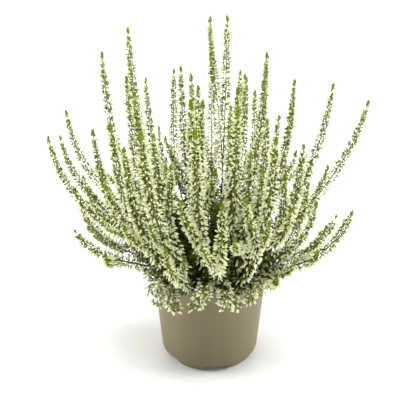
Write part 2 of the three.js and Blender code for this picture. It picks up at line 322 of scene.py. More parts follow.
leaf = Recipe("green_leaf", Specular_IOR_Level=0.1)
across, tone = leaf.map_numbers()
# The lowest tones, near black, are partly old leaves and partly painted shade.
blade = leaf.ramp(tone, [
    (0.0, (0.006, 0.02, 0.001)), (0.3, (0.024, 0.058, 0.003)), (0.62, (0.1, 0.135, 0.012)),
    (0.85, (0.18, 0.245, 0.015)), (1.0, (0.25, 0.36, 0.02)),
])
bark = leaf.ramp(tone, [
    (0.0, (0.05, 0.028, 0.012)), (0.35, (0.11, 0.085, 0.022)), (0.55, (0.2, 0.18, 0.045)),
    (0.75, (0.3, 0.36, 0.08)), (1.0, (0.4, 0.52, 0.1)),
])
grain = leaf.noise(1100, detail=2)
leaf.finish(
    Base_Color=leaf.mix(across > STEM_HALF, blade, bark),
    Roughness=0.48 + grain * 0.25,
    Normal=leaf.bump(grain, 0.3 * MM, 0.7),
)
print("made", leaf.material.name)

# %% [markdown]
# The shoots are those of the CAD model: the same tips, the same feet in the compost and the same
# curves between them. Each list gives the places where the spikes of one shoot end. A fourth number
# stands where a shoot is straighter or more bowed than the rest.

# %% Tips of the shoots, in millimetres
RISING = [
    [[-156, -15, 239, 0.56], [-137, -4, 184]],
    [[-156, 30, 231, 0.56], [-136, 36, 186]],
    [[-153, 52, 253], [-128, 72, 188]],
    [[-105, -55, 254], [-113, -45, 186]],
    [[-106, 20, 315, 0.72], [-112, 6, 206]],
    [[-84, -85, 264], [-94, -70, 208], [-95, -88, 180]],
    [[-83, 45, 338], [-88, 56, 222]],
    [[-78, -20, 296], [-80, -38, 222]],
    [[-66, -60, 287], [-56, -84, 172]],
    [[-71, -105, 250], [-71, -95, 212], [-74, -104, 182]],
    [[-55, -125, 266], [-51, -117, 188]],
    [[-48, -98, 259], [-34, -108, 236]],
    [[-14, -122, 267], [-26, -128, 213]],
    [[-18, -85, 284], [-8, -58, 280], [2, -100, 230]],
    [[19, -105, 280], [15, -75, 278]],
    [[7, -130, 210], [-10, -130, 181]],
    [[31, -92, 242], [17, -128, 180]],
    [[48, -120, 260], [25, -128, 214], [46, -118, 192]],
    [[45, -85, 269], [60, -45, 265], [40, -105, 232]],
    [[76, -85, 248], [61, -90, 223], [65, -102, 198]],
    [[92, -75, 193], [88, -55, 205]],
    [[-39, -118, 167], [-24, -98, 150]],
    [[-30, 40, 300], [-46, 20, 232]],
    [[-12, -36, 290], [-19, 0, 296]],
    [[38, 50, 288]],
    [[14, -15, 349], [-1, 20, 348]],
    [[23, -38, 288]],
    [[53, 5, 316], [45, 30, 277]],
    [[89, 55, 285], [92, 40, 212]],
    [[122, 22, 285, 0.52], [104, 16, 208]],
    [[155, 10, 270, 0.36], [118, 2, 206]],
    [[-69, 70, 285], [-50, 96, 190]],
    [[32, 60, 294], [40, 100, 286], [22, 104, 190]],
    [[-91, 108, 300], [-104, 78, 212]],
    [[-60, 124, 222], [-82, 112, 190], [-62, 104, 150]],
    [[-39, 85, 293, 1.2], [-45, 116, 200]],
    [[3, 112, 316], [-12, 100, 240]],
    [[-8, 129, 230], [12, 131, 205]],
    [[64, 100, 296], [60, 112, 220]],
    [[38, 129, 238], [52, 124, 202], [34, 118, 160]],
    [[98, 108, 262], [90, 92, 190]],
    [[82, 122, 205], [112, 84, 198], [84, 104, 158]],
    [[-112, 90, 184], [-92, 104, 156]],
]
SWEEPING = [
    [[-134, -30, 150], [-98, -66, 140]],
    [[-131, 5, 148], [-139, 28, 158]],
    [[129, -60, 180], [98, -68, 144]],
    [[111, -40, 158], [126, -16, 160]],
    [[76, -75, 136], [58, -90, 128]],
    [[104, 72, 150], [120, 42, 160]],
    [[20, 122, 140], [-14, 118, 146], [55, 108, 150]],
]
ARCHING = [
    [[-51, -75, 91], [-32, -86, 97]],
    [[-62, -38, 99], [-60, -54, 97]],
    [[-7, -90, 107], [-17, -84, 97]],
    [[13, -100, 101], [27, -84, 98]],
    [[48, -62, 95], [36, -76, 100], [66, -44, 101]],
    [[68, 48, 100], [40, 76, 102]],
    [[10, 90, 104], [-14, 86, 98]],
    [[-56, 68, 98], [-34, 82, 102], [-76, 40, 104]],
]
shoots = [
    (f"{habit}_shoot_{number:02d}", habit, tips)
    for habit, table in (("rising", RISING), ("sweeping", SWEEPING), ("arching", ARCHING))
    for number, tips in enumerate(table, start=1)
]
print(len(shoots), "shoots with", sum(len(tips) for _, _, tips in shoots), "spikes")

# %% [markdown]
# Each shoot stands in its own hole in the compost. A shoot that leans further is rooted nearer the
# wall, on the bearing of its tip, and then the roots push each other apart until none crowds its
# neighbour. Pushing all pairs at once is a single line of array arithmetic for each round.

# %% Feet of the shoots, in millimetres
POT_HEIGHT = 98
RIM_RADIUS = 60
WALL_FOOT_RADIUS = 52.4
WALL = 1.6
CHAMFER_HEIGHT = 12
SOIL_LEVEL = 91
SOIL_EDGE_DROP = 3
SOIL_LUMPS = 0.7
ROOT_DISC_RADIUS = 48.5
ROOT_SPACING = 12.6
WIDEST_LEAN_DEG = 62
PUSH_ROUNDS = 400
PUSH_SHARE = 0.25


def inner_radius(height):
    """Inner radius of the pot's wall: a straight taper from the chamfer to the rim, less the wall."""
    share = (height - CHAMFER_HEIGHT) / (POT_HEIGHT - CHAMFER_HEIGHT)
    return WALL_FOOT_RADIUS + (RIM_RADIUS - WALL_FOOT_RADIUS) * share - WALL


def soil_height(x, y):
    """Height of the compost: a low dome that falls away to the wall, with lumps made of waves."""
    reach = np.hypot(x, y) / inner_radius(SOIL_LEVEL)
    lumps = np.sin(x * 0.21 + 1) * np.cos(y * 0.19) + 0.6 * np.sin(x * 0.37 - y * 0.31)
    return SOIL_LEVEL - SOIL_EDGE_DROP * reach * reach + SOIL_LUMPS * lumps


def place_roots(tips):
    """Feet of the shoots from their tips: radius by lean, then a mutual push from every neighbour
    that is nearer than the spacing, held inside the disc."""
    lean = np.degrees(np.arctan2(np.hypot(tips[:, 0], tips[:, 1]), tips[:, 2] - SOIL_LEVEL))
    radius = ROOT_DISC_RADIUS * np.minimum(1, lean / WIDEST_LEAN_DEG)
    bearing = np.arctan2(tips[:, 1], tips[:, 0])
    roots = np.stack([np.cos(bearing), np.sin(bearing)], axis=1) * radius[:, None]
    for _ in range(PUSH_ROUNDS):
        apart = roots[:, None] - roots[None]
        distance = np.hypot(apart[..., 0], apart[..., 1])
        np.fill_diagonal(distance, np.inf)
        push = np.maximum(ROOT_SPACING - distance, 0) * PUSH_SHARE / distance
        roots = roots + (apart * push[..., None]).sum(axis=1)
        reach = np.hypot(roots[:, 0], roots[:, 1])
        roots = roots * np.minimum(1, ROOT_DISC_RADIUS / np.maximum(reach, 1e-9))[:, None]
    return roots


roots = place_roots(np.array([tips[0][:3] for _, _, tips in shoots], dtype=float))
print("roots placed, widest at", round(float(np.hypot(*roots.T).max()), 1), "mm")

# %% [markdown]
# A shoot is one smooth Bezier curve from its foot to its tip. A route samples that curve closely
# and looks places up by the distance walked along it, so buds can be spaced evenly.

# %% Routes of stems
BOW = 0.62
FULL_BOW_CLIMB = 110
STEEPEST_START = 0.85
LEAST_RISE = 30
START_OVER_SOIL = 2
RISE_SHARE = 0.48
RISE_LOST_TO_BOW = 0.54
DRAW_IN = 0.22
DRAW_LOST_TO_BOW = 0.25
TURN_UP_SHARE = 0.45
SWEEP = (0.17, 114, 0.25, 104)
ARCH = (0.08, 112, 0.35, 118)
FORK_SHARE = 0.38
FORK_EASE = 0.35
FORK_LEAN = 0.4
NEARLY_UPRIGHT = 0.02
UP = np.array([0.0, 0.0, 1.0])


class Route:
    """A cubic Bezier curve in metres, looked up by the distance walked along it."""

    def __init__(self, control, samples=160):
        control = np.asarray(control, dtype=float)
        t = np.linspace(0, 1, samples)[:, None]
        self.points = (
            (1 - t) ** 3 * control[0] + 3 * (1 - t) ** 2 * t * control[1]
            + 3 * (1 - t) * t ** 2 * control[2] + t ** 3 * control[3]
        )
        steps = np.linalg.norm(np.diff(self.points, axis=0), axis=1)
        self.walked = np.concatenate([[0], np.cumsum(steps)])
        self.length = self.walked[-1]
        chord = control[3] - control[0]
        across = np.cross(chord, UP)
        flat = np.linalg.norm(across) < NEARLY_UPRIGHT * np.linalg.norm(chord)
        self.level = np.array([1.0, 0, 0]) if flat else across / np.linalg.norm(across)

    def at(self, distance):
        """Place at each distance along the curve."""
        places = [np.interp(distance, self.walked, line) for line in self.points.T]
        return np.stack(places, axis=-1)

    def axes(self, distance):
        """At each distance: the direction along the curve, a level side to it, and the third axis."""
        step = self.length / 100
        low = np.clip(distance - step, 0, self.length)
        high = np.clip(distance + step, 0, self.length)
        along = unit(self.at(high) - self.at(low))
        side = unit(self.level - along * (along @ self.level)[..., None])
        return along, side, np.cross(along, side)

    def around(self, distance, angle):
        """At each distance: the direction along the curve, and the way out from it at an angle."""
        along, side, other = self.axes(distance)
        return along, side * np.cos(angle)[:, None] + other * np.sin(angle)[:, None]


def main_control(habit, root, tip):
    """The four control points of a shoot's main curve, in metres."""
    x, y, z = tip[:3]
    bow = tip[3] if len(tip) > 3 else BOW
    start = np.array([*root, soil_height(*root) + START_OVER_SOIL])
    end = np.array([x, y, z], dtype=float)
    across = np.array([x - root[0], y - root[1], 0])
    if habit == "rising":
        climb = z - start[2]
        aim = bow * min(1, climb / FULL_BOW_CLIMB)
        rise = max(
            climb * (RISE_SHARE - RISE_LOST_TO_BOW * bow),
            np.linalg.norm(across) * aim * STEEPEST_START,
            LEAST_RISE,
        )
        first = start + across * aim + UP * rise
        last = end - across * (DRAW_IN - DRAW_LOST_TO_BOW * bow) - UP * climb * TURN_UP_SHARE
    else:
        first_share, first_height, last_share, last_height = SWEEP if habit == "sweeping" else ARCH
        first = start + across * first_share
        last = end - across * last_share
        first[2], last[2] = first_height, last_height
    return np.array([start, first, last, end]) * MM


def fork_control(main, tip):
    """The control points of a side spike, which leaves the main curve along it and turns up."""
    start = main.at(FORK_SHARE * main.length)
    along = main.axes(np.array([FORK_SHARE * main.length]))[0][0]
    end = np.array(tip[:3]) * MM
    span = np.linalg.norm(end - start)
    last = (end - start) * np.array([FORK_LEAN / span, FORK_LEAN / span, 0]) + UP
    ease = span * FORK_EASE
    return np.array([start, start + along * ease, end - unit(last) * ease, end])


print("routes ready")

# %% [markdown]
# A stem is a tube that thins towards its tip. Buds, stalks, bracts and leaves are spindles: a
# profile of radii is carried along a short, slightly bent axis. Both are calls of the same shell.

# %% Stems and spindles
BUTT_SHARE = 0.3
STEM_ACROSS = 0.75
STEM_ROUND = 0.2
TONE_ROUND = 0.03
STEM_STEP = 5 * MM
STEM_TAPER = 0.8


def tube(route, distances, radii, columns, tones):
    """A stem along a route: a ring of columns points at each distance, of the given radius. It is
    closed a little below its first ring and one radius past its last."""
    centre = route.at(distances)
    along, side, other = route.axes(distances)
    angle = 2 * np.pi * np.arange(columns) / columns
    ring = side[:, None] * np.cos(angle)[:, None] + other[:, None] * np.sin(angle)[:, None]
    rings = (centre[:, None] + ring * np.asarray(radii)[:, None, None])[None]
    butt = centre[:1] - along[:1] * radii[0] * BUTT_SHARE
    points, faces = shell(rings, butt, centre[-1:] + along[-1:] * radii[-1])
    rows = np.concatenate([np.repeat(tones, columns), tones[[0, -1]]])
    round_stem = np.tile(STEM_ACROSS + STEM_ROUND * np.cos(angle), len(distances))
    across = np.concatenate([round_stem, [STEM_ACROSS, STEM_ACROSS]])
    return points, faces, np.stack([across, np.clip(rows, *MAP_LIMITS)], axis=-1)


def stem(route, radii, tones, columns=5):
    """The whole stem of a route. Its radius goes from the first to the second as the share of the
    way to the power of STEM_TAPER, and its tone changes evenly."""
    distances = np.linspace(0, route.length, max(int(route.length / STEM_STEP), 3))
    share = distances / route.length
    girth = radii[0] + (radii[1] - radii[0]) * share ** STEM_TAPER
    return tube(route, distances, girth, columns, tones[0] + (tones[1] - tones[0]) * share)


def spindles(
    base, toward, upper, length, width, tone, shares, profile, columns, along, bend=0.0, flat=1.0
):
    """Many slim bodies at once. Ring k sits at shares[k] of the length from the base and has
    profile[k] of half the width. The axis bows by bend times the length times u(1 - u) towards the
    upper side, and flat squashes the body across that side."""
    side = unit(np.cross(toward, upper))
    upper = np.cross(side, toward)
    shares = np.asarray(shares)
    centre = base[:, None] + toward[:, None] * (length[:, None] * shares)[..., None]
    centre = centre + upper[:, None] * (bend * length[:, None] * shares * (1 - shares))[..., None]
    radius = width[:, None] * 0.5 * np.asarray(profile)
    angle = 2 * np.pi * (np.arange(columns) + 0.5) / columns
    ring = side[:, None] * np.cos(angle)[:, None] + upper[:, None] * (flat * np.sin(angle))[:, None]
    rings = centre[:, :, None] + ring[:, None] * radius[:, :, None, None]
    points, faces = shell(rings, base, base + toward * length[:, None])
    return points, faces, shell_map(along, tone, columns, TONE_ROUND)


print("stems and spindles ready")

# %% [markdown]
# A flower spike carries its buds in whorls, each turned against the one below. A bud sits on a thin
# green stalk with olive bracts at its joint, two near the tip and one further down. The tables give
# a bud's measures at four distances below the tip, which stand for its age. Near the tip the buds
# are small, upright and close together. Further down they are full grown, hang on longer stalks and
# stand wider apart, and some are missing.

# %% Measures of a flower spike
PITCH_DISTANCES = np.array([0, 50, 110, 200]) * MM
PITCHES = np.array([2.5, 3.0, 4.0, 6.2]) * MM
WHORL_BUDS = 5
MISSING = 0.05
MISSING_LOW = 0.27
THIN_FROM = 70 * MM
THIN_OVER = 80 * MM
AGES = np.array([0, 15, 50, 110]) * MM
STALK_LENGTHS = np.array([0.5, 1.1, 1.7, 3.2]) * MM
STALK_RISE = [1.3, 0.6, 0.25, 0.1]
STALK_WIDTH = 0.5 * MM
STALK_OVERLAP = 0.3 * MM
BUD_LENGTHS = np.array([2.9, 4.7, 5.4, 5.8]) * MM
BUD_WIDTHS = np.array([1.1, 1.4, 1.7, 1.9]) * MM
BUD_DROOP = [-0.25, 0.0, 0.3, 0.65]
BUD_BOWS_UP = 0.4
BRACT_SIZES = [0.7, 0.85, 1.0, 1.0]
BRACT_LENGTH = 3.0 * MM
BRACT_WIDTH = 1.6 * MM
BRACT_LIFT = 0.55
SECOND_BRACT_UPTO = 80 * MM
BUD_FORM = dict(
    shares=[0.28, 0.72], profile=[0.95, 0.9], columns=4, bend=0.2, along=[0.28, 0.72, 0.02, 0.99],
)
STALK_FORM = dict(shares=[0.6], profile=[1.0], columns=3, along=[STEM_ACROSS] * 3)
BRACT_FORM = dict(shares=[0.45], profile=[1.0], columns=3, flat=0.7, along=[0.25, 0.02, 0.48])


def whorl_places(length, neck, fullness):
    """Distances below the tip of a spike's whorls. The pitch widens from the tip down, and a fuller
    spike has a smaller one."""
    below = np.linspace(neck, length, 400)
    pitch = np.interp(below, PITCH_DISTANCES, PITCHES) / fullness
    passed = np.concatenate([[0], np.cumsum(np.diff(below) / pitch[1:])])
    return np.interp(np.arange(int(passed[-1])), passed, below)


def by_age(age, table):
    """A measure read off one of the tables above, as a column."""
    return np.interp(age, AGES, table)[:, None]


print("whorls of", WHORL_BUDS, "buds, the largest", BUD_LENGTHS.max() / MM, "mm long")

# %% [markdown]
# Heather flowers only where it has light. The inside of the bush bears leaves and no buds, and the
# buds next to it get painted shade. The shaded inside is taken as half an egg that stands on the
# pot's rim, a little behind its middle, because one formula then tells how far out of it any place is.

# %% Light inside the bush
SHADED_RISE = 80 * MM
SHADED_BACK = 6 * MM
# The next four bound the painted shade on buds: it fades out high up and towards the front.
GLOOM_TOP = 205 * MM
GLOOM_FADE = 50 * MM
LIT_FRONT = -66 * MM
LIT_FADE = 26 * MM


def openness(points, widest):
    """How far out of the shaded inside points are, with one on its limit: the length of the pair
    of their reach, as a share of the widest, and their rise over the rim, as one of SHADED_RISE."""
    reach = np.hypot(points[:, 0], points[:, 1] - SHADED_BACK) / widest
    rise = (points[:, 2] - POT_HEIGHT * MM) / SHADED_RISE
    return np.sqrt(reach ** 2 + np.maximum(rise, 0) ** 2)


def gloom(points, widest, belt):
    """How much painted shade buds get, from 0 to 1: full next to the shaded inside and none past a belt
    round it, none high up, and none on the front, towards the camera."""
    inner = np.clip((1 + belt - openness(points, widest)) / belt, 0, 1)
    behind = np.clip((points[:, 1] - LIT_FRONT) / LIT_FADE, 0, 1)
    return inner * behind * np.clip((GLOOM_TOP - points[:, 2]) / GLOOM_FADE, 0, 1)


print("light helpers ready")

# %% [markdown]
# Every bud of a spike is one row of an array, with its place, direction, size and tone, and the
# rows become bodies in one call. Small random changes keep the whorls from looking stamped. A value
# named swing is the spread of such a change, and a range holds the limits of a random factor.

# %% Flower spikes
BEARING_SWING = 0.28
PLACE_SWING = 0.7 * MM
STALK_SWING = 0.14
BUD_SWING = 0.18
BRACT_SWING = 0.15
STALK_RANGE = (0.7, 1.35)
BUD_LENGTH_RANGE = (0.86, 1.14)
BUD_WIDTH_RANGE = (0.88, 1.12)
TIP_RIPENESS = 0.15
RIPENS_OVER = 85 * MM
RIPENESS_SWING = 0.12
RIPENESS_LIMITS = (0.02, 0.98)
GLOOM_SWING = 0.08
STALK_TONE = 0.92
STALK_BROWNS_OVER = 230 * MM
STALK_TONE_SWING = 0.05
STALK_TONE_LIMITS = (0.3, 1)
BRACT_TONE = 0.6
BRACT_DARKENS_OVER = 330 * MM
BRACT_TONE_SWING = 0.1
BRACT_TONE_LIMITS = (0.05, 0.8)
BRACT_PAINTED_SHADE = 0.6


def scattered(directions, swing, rng):
    """Directions of length one, after a random swing is added to each."""
    return unit(directions + rng.normal(0, swing, directions.shape))


def varied(numbers, swing, rng, limits=(0, 1)):
    """Numbers held inside limits, after a random swing is added to each."""
    return np.clip(numbers + rng.normal(0, swing, len(numbers)), *limits)


def spike(route, start, neck, fullness, kind, rng):
    """The buds, and the stalks and bracts, of one spike from the distance start to its tip.

    A stalk points along the radius plus a falling share of the stem's direction. Its bud takes the
    stalk's direction less a growing share of straight up. kind is a row of HABITS."""
    below = np.repeat(whorl_places(route.length - start, neck, fullness), WHORL_BUDS)
    number = np.arange(len(below))
    angle = number // WHORL_BUDS * np.pi / WHORL_BUDS + number * 2 * np.pi / WHORL_BUDS
    angle = angle + rng.normal(0, BEARING_SWING, len(below))
    below = below + rng.normal(0, PLACE_SWING, len(below))
    missing = MISSING + MISSING_LOW * np.clip((below - THIN_FROM) / THIN_OVER, 0, 1)
    in_light = openness(route.at(route.length - below), kind["shaded"]) > 1
    kept = (rng.random(len(below)) > missing) & in_light
    below, angle = below[kept], angle[kept]
    distance = route.length - below
    age = below + kind["age_shift"]
    count = len(below)
    along, radial = route.around(distance, angle)
    out = scattered(radial + along * by_age(age, STALK_RISE), STALK_SWING, rng)
    stalk = by_age(age, STALK_LENGTHS)[:, 0] * rng.uniform(*STALK_RANGE, count)
    base = route.at(distance)
    joint = base + out * stalk[:, None]
    toward = scattered(out - UP * by_age(age, BUD_DROOP), BUD_SWING, rng)
    length = by_age(age, BUD_LENGTHS)[:, 0] * rng.uniform(*BUD_LENGTH_RANGE, count)
    width = by_age(age, BUD_WIDTHS)[:, 0] * rng.uniform(*BUD_WIDTH_RANGE, count)
    ripeness = varied(TIP_RIPENESS + age / RIPENS_OVER, RIPENESS_SWING, rng, RIPENESS_LIMITS)
    # Painted shade on buds next to the shaded inside and behind it.
    painted_shade = varied(gloom(base, kind["shaded"], kind["belt"]), GLOOM_SWING, rng)
    tone = RIPE_TONE * ripeness * (1 - painted_shade) + PAINTED_SHADE_TONE * painted_shade
    upper = unit(along + UP * BUD_BOWS_UP)
    buds = spindles(joint, toward, upper, length, width, tone, **BUD_FORM)
    tone = varied(STALK_TONE - age / STALK_BROWNS_OVER, STALK_TONE_SWING, rng, STALK_TONE_LIMITS)
    width = np.full(count, STALK_WIDTH)
    greens = [spindles(base, out, upper, stalk + STALK_OVERLAP, width, tone, **STALK_FORM)]
    tone = varied(BRACT_TONE - below / BRACT_DARKENS_OVER, BRACT_TONE_SWING, rng, BRACT_TONE_LIMITS)
    # The bracts of buds in painted shade are darkened as painted shade too.
    tone = tone * (1 - BRACT_PAINTED_SHADE * painted_shade)
    size = by_age(age, BRACT_SIZES)[:, 0]
    for lift, upto in ((BRACT_LIFT, np.inf), (-BRACT_LIFT, SECOND_BRACT_UPTO)):
        has = age < upto
        leaning = scattered(toward + upper * lift, BRACT_SWING, rng)[has]
        greens.append(spindles(
            (joint - out * STALK_OVERLAP)[has], leaning, toward[has], BRACT_LENGTH * size[has],
            BRACT_WIDTH * size[has], tone[has], **BRACT_FORM,
        ))
    return buds, greens


print("spike helpers ready")

# %% [markdown]
# Every spike ends in a tuft of new leaves, the brightest green on the plant, on a short bare neck.
# Some tufts are small and some are fat, as the photograph shows. Scale leaves clothe every stem in
# opposite pairs. They are small and green on a spike, and longer and darker inside the bush, the
# dark partly older leaves and partly painted shade.

# %% Tufts and scale leaves
TUFT_LEAVES = 12
TUFT_LENGTH = 4.6 * MM
TUFT_CORE = 0.3 * MM
TUFT_LEAF_LENGTH = 3.3 * MM
TUFT_LEAF_LOSS = 0.8 * MM
TUFT_LEAN = 0.12
TUFT_LEAN_LOW = 0.85
TUFT_LEAF_RANGE = (0.9, 1.1)
TUFT_LEAF_WIDTH = 0.5
TUFT_TONE = 0.9
TUFT_TONE_SWING = 0.06
SPIRAL_TURN = 2.4
SCALE_TURN_SWING = 0.2
SCALE_SWING = 0.1
SCALE_RANGE = (0.85, 1.15)
SCALE_TONE_SWING = 0.05
SCALE_WIDTH = 0.42
TUFT_FORM = dict(
    shares=[0.3, 0.68], profile=[0.9, 0.75], columns=4, bend=-0.3, flat=0.6,
    along=[0.15, 0.33, 0.02, 0.48],
)
SCALE_FORM = dict(BRACT_FORM, flat=0.6)
SPIKE_LEAVES = dict(tones=(0.3, 0.95), pitch=3.2 * MM, size=2.4 * MM, spread=0.5)
INNER_LEAVES = dict(tones=(0.12, 0.4), pitch=1.8 * MM, size=3.6 * MM, spread=0.8)
TWIG_LEAVES = dict(pitch=2.1 * MM, size=4.8 * MM, spread=0.8)


def tuft(route, size, rng):
    """The tip's new leaves: a tight spiral of upright leaves, the lower ones leaning out more."""
    count = int(TUFT_LEAVES * size)
    step = np.arange(count) / count
    distance = route.length - (1 - step) * TUFT_LENGTH * size
    along, radial = route.around(distance, np.arange(count) * SPIRAL_TURN + rng.uniform(0, 6))
    base = route.at(distance) + radial * TUFT_CORE
    toward = unit(along + radial * (TUFT_LEAN_LOW * (1 - step) + TUFT_LEAN)[:, None])
    length = (TUFT_LEAF_LENGTH - TUFT_LEAF_LOSS * step) * size ** 0.5
    length = length * rng.uniform(*TUFT_LEAF_RANGE, count)
    tone = varied(np.full(count, TUFT_TONE), TUFT_TONE_SWING, rng)
    return spindles(base, toward, along, length, length * TUFT_LEAF_WIDTH, tone, **TUFT_FORM)


def scale_leaves(route, low, high, rng, tones, pitch, size, spread):
    """Opposite pairs of small leaves along a stretch of stem, each pair turned by a quarter. A leaf
    points along the stem plus spread outwards, and tones are those of the lowest and the highest."""
    pairs = max(int((high - low) / pitch), 1)
    distance = np.repeat(np.linspace(low, high, pairs), 2)
    count = len(distance)
    angle = np.repeat(np.arange(pairs), 2) * np.pi / 2 + np.tile([0, np.pi], pairs)
    along, radial = route.around(distance, angle + rng.normal(0, SCALE_TURN_SWING, count))
    base = route.at(distance)
    toward = scattered(along + radial * spread, SCALE_SWING, rng)
    length = size * rng.uniform(*SCALE_RANGE, count)
    tone = varied(np.linspace(*tones, count), SCALE_TONE_SWING, rng)
    return spindles(base, toward, along, length, length * SCALE_WIDTH, tone, **SCALE_FORM)


print("leaf helpers ready")

# %% [markdown]
# The three habits differ in more than their curves. Rising shoots are bare low down and crowd the
# shaded inside. Sweeping ones flower from near the rim, and the arching sprays are older, with full
# grown buds and small tufts. One table holds what differs, so that one function grows all three.

# %% Habits of the shoots
# bare: the foot of a stem that bears no buds. fullness: how close the whorls stand. age_shift: how
# much older the buds are. neck: the bare stem under the tuft. tuft: the size of the tuft. shaded: how
# far the shaded inside reaches. belt: the breadth of the painted shade on buds round it, as a share
# of that. twig_pitch: the length of stem for each twig. twiggy: how far from the pot's middle twigs
# grow.
HABITS = {
    "rising": dict(
        bare=40 * MM, fullness=1.0, age_shift=0, neck=5 * MM, tuft=1.1,
        shaded=70 * MM, belt=0.65, twig_pitch=2.8 * MM, twiggy=80 * MM,
    ),
    "sweeping": dict(
        bare=9 * MM, fullness=1.05, age_shift=20 * MM, neck=5 * MM, tuft=0.95,
        shaded=60 * MM, belt=0.15, twig_pitch=6 * MM, twiggy=64 * MM,
    ),
    "arching": dict(
        bare=6 * MM, fullness=1.0, age_shift=100 * MM, neck=1.5 * MM, tuft=0.6,
        shaded=56 * MM, belt=0.05, twig_pitch=6 * MM, twiggy=50 * MM,
    ),
}
print("habits:", ", ".join(HABITS))

# %% [markdown]
# The dark inside of the bush is made of leafy twigs. They are short curves that leave the stem at
# random bearings and turn up, shorter and greener further out. Their leaves are darker near the
# middle and low down, partly older leaves and partly painted shade. Shoots of the middle also bear
# one or two short flower spikes on their sides, which fill the bush between the long ones.

# %% Twigs and side spikes
TWIGGY_HEIGHT = 168 * MM
LEAST_TWIGGY = 10 * MM
LOWEST_TWIG = 5 * MM
TWIG_LENGTHS = (24, 36)
TWIG_LEAN = 0.9
TWIG_RADII = (0.5 * MM, 0.25 * MM)
TWIG_EASE = 0.35
TWIG_ALONG = (0.7, 0.9)
TWIG_LEAN_KEPT = 0.6
TWIG_TURN_UP = 0.3
TWIG_TONES = (0.2, 0.35)
TWIG_TONE_GAIN = 0.3
LOWEST_LEAF = 1 * MM
ROOM_BY_REACH = ([30 * MM, 70 * MM], [1.0, 0.45])
# Twig leaves are darker near the middle and low down: partly older leaves, partly painted shade.
TONE_BY_REACH = ([40 * MM, 75 * MM], [0.0, 0.35])
TONE_BY_HEIGHT = ([115 * MM, 165 * MM], [0.0, 0.5])
SIDE_SPIKES = ((85, 0.42, 0.6), (60, 0.58, 0.72))
SIDE_SPIKE_TOP = 190 * MM
SIDE_SPIKE_LENGTHS = (42, 55)
SIDE_SPIKE_LEAN = 0.4


def side_twig(main, distance, length, lean, rng):
    """A short curve that leaves the stem at a random bearing. It starts along the first share of the
    stem's own direction plus lean outwards, and ends with more of the stem's, less lean and some
    straight up."""
    start = main.at(distance)
    bearing = rng.uniform(0, 2 * np.pi, 1)
    along, radial = (axis[0] for axis in main.around(np.array([distance]), bearing))
    first = unit(along * TWIG_ALONG[0] + radial * lean)
    last = unit(along * TWIG_ALONG[1] + radial * lean * TWIG_LEAN_KEPT + UP * TWIG_TURN_UP)
    end = start + (first + last) * length * 0.5
    ease = length * TWIG_EASE
    return Route([start, start + first * ease, end - last * ease, end], samples=30)


def side_spikes(main, habit, reach, rng):
    """Routes of the side spikes. Each row of SIDE_SPIKES gives one to a rising shoot whose tip is
    within its reach, in millimetres from the middle. The spike starts between the row's two shares
    of the stem, and there is none if that is too high."""
    found = []
    for within, low_share, high_share in SIDE_SPIKES:
        start = main.length * rng.uniform(low_share, high_share)
        if habit == "rising" and reach < within and main.at(start)[2] < SIDE_SPIKE_TOP:
            length = rng.uniform(*SIDE_SPIKE_LENGTHS) * MM
            found.append(side_twig(main, start, length, SIDE_SPIKE_LEAN, rng))
    return found


def leafy_twigs(main, kind, rng):
    """The twigs on the stretch of a stem that is near enough to the middle and low enough."""
    reach = np.hypot(main.points[:, 0], main.points[:, 1])
    inside = (reach < kind["twiggy"]) & (main.points[:, 2] < TWIGGY_HEIGHT)
    twiggy = max(main.walked[inside].max(), LEAST_TWIGGY)
    greens = []
    for distance in rng.uniform(LOWEST_TWIG, twiggy, int(twiggy / kind["twig_pitch"])):
        x, y, z = main.at(distance)
        away = np.hypot(x, y)
        tone = max(np.interp(z, *TONE_BY_HEIGHT), np.interp(away, *TONE_BY_REACH))
        length = rng.uniform(*TWIG_LENGTHS) * MM * np.interp(away, *ROOM_BY_REACH)
        twig = side_twig(main, distance, length, TWIG_LEAN, rng)
        stem_tones = (TWIG_TONES[0] + tone, TWIG_TONES[1] + tone)
        greens.append(stem(twig, TWIG_RADII, stem_tones, columns=3))
        tones = (tone, tone + TWIG_TONE_GAIN)
        greens.append(scale_leaves(twig, LOWEST_LEAF, twig.length, rng, tones, **TWIG_LEAVES))
    return greens


print("twig helpers ready")

# %% [markdown]
# Now the shoots are grown one after another. Each gets two pieces: the green one holds its stem,
# scale leaves, bracts and tufts, and the white one holds its buds. Both take the place of the same
# CAD node, which is hidden. Every shoot has its own seeded random numbers, so it comes out the same
# each time. Towards the outside of the bush a rising stem is bare for less of its length, because it
# gets more light.

# %% Grow the shoots
SEED = 41
ROOT_DEPTH = 16 * MM
PEG_RADII = np.array([1.3, 1.4, 1.3]) * MM
PEG_TONES = np.array([0, 0.02, 0.05])
MAIN_STEM = dict(radii=(1.3 * MM, 0.4 * MM), tones=(0.05, 0.92), columns=6)
FORK_STEM = dict(radii=(0.75 * MM, 0.4 * MM), tones=(0.45, 0.92))
FORK_BARE = 6 * MM
LOWEST_INNER_LEAF = 4 * MM
TUFT_RANGE = (0.85, 1.25)
NECK_RANGE = (0.5, 1.0)
TUFT_BARE = 0.6
BARE_BY_REACH = ([20, 120], [1.4, 0.35])
FULLNESS_BY_REACH = ([0, 60, 130], [1.2, 1.15, 1.25])
FAT_TUFTS = {
    "rising_shoot_13": 1.2, "rising_shoot_14": 1.35, "rising_shoot_24": 1.2, "rising_shoot_27": 1.3,
}
BUDLESS_OPENNESS = 1.08
BUD_POINTS = BUD_FORM["columns"] * len(BUD_FORM["shares"]) + 2
totals = {"buds": 0, "triangles": 0}


def peg(foot, root):
    """The buried foot of a stem: a straight tube from ROOT_DEPTH below its start."""
    deep = np.array([root[0] * MM, root[1] * MM, foot[2] - ROOT_DEPTH])
    route = Route([deep, deep + (foot - deep) / 3, foot - (foot - deep) / 3, foot], samples=8)
    return tube(route, np.linspace(0, route.length, 3), PEG_RADII, 6, PEG_TONES)


